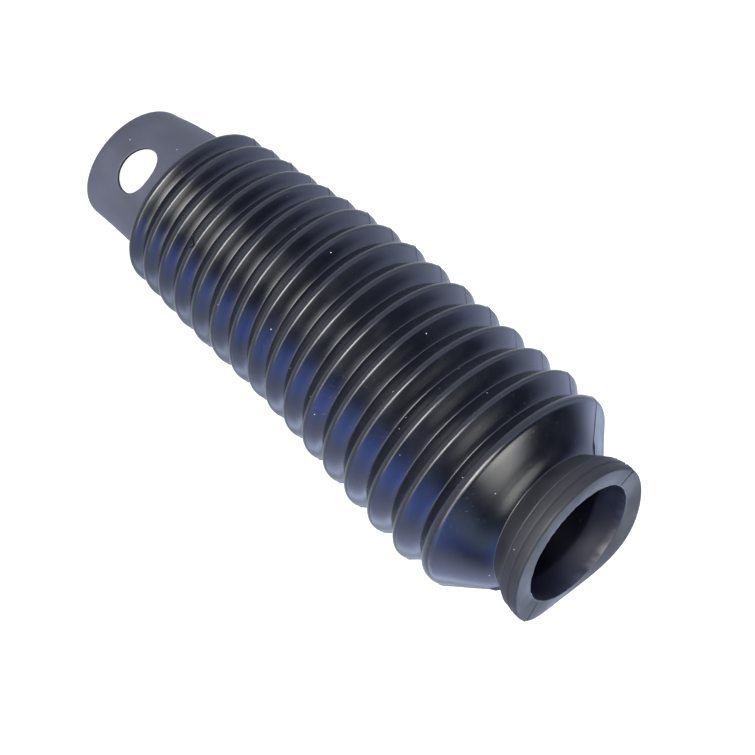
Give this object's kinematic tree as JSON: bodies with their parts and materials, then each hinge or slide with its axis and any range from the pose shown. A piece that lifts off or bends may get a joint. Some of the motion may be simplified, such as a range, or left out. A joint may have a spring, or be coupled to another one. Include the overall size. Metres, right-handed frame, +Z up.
{
  "type": "rubber bellows boot",
  "caption": "Tapered moulded rubber bellows that seals a sliding rod: plain collar with a side window at the small end, flared neck and lip at the large end.",
  "frame": {"origin": "centre of the collar's flat end face, on the surface that the boot stands on", "axes": "+Z runs up along the boot's axis from the collar to the lip, and -Y is the side that the collar's window faces"},
  "size_m": [0.0723, 0.0724, 0.201],
  "materials": {
    "black_rubber": "satin moulded rubber, matte on the collar and lip"
  },
  "bodies": {
    "root": {"bellows_boot": "black_rubber"}
  },
  "joints": []
}
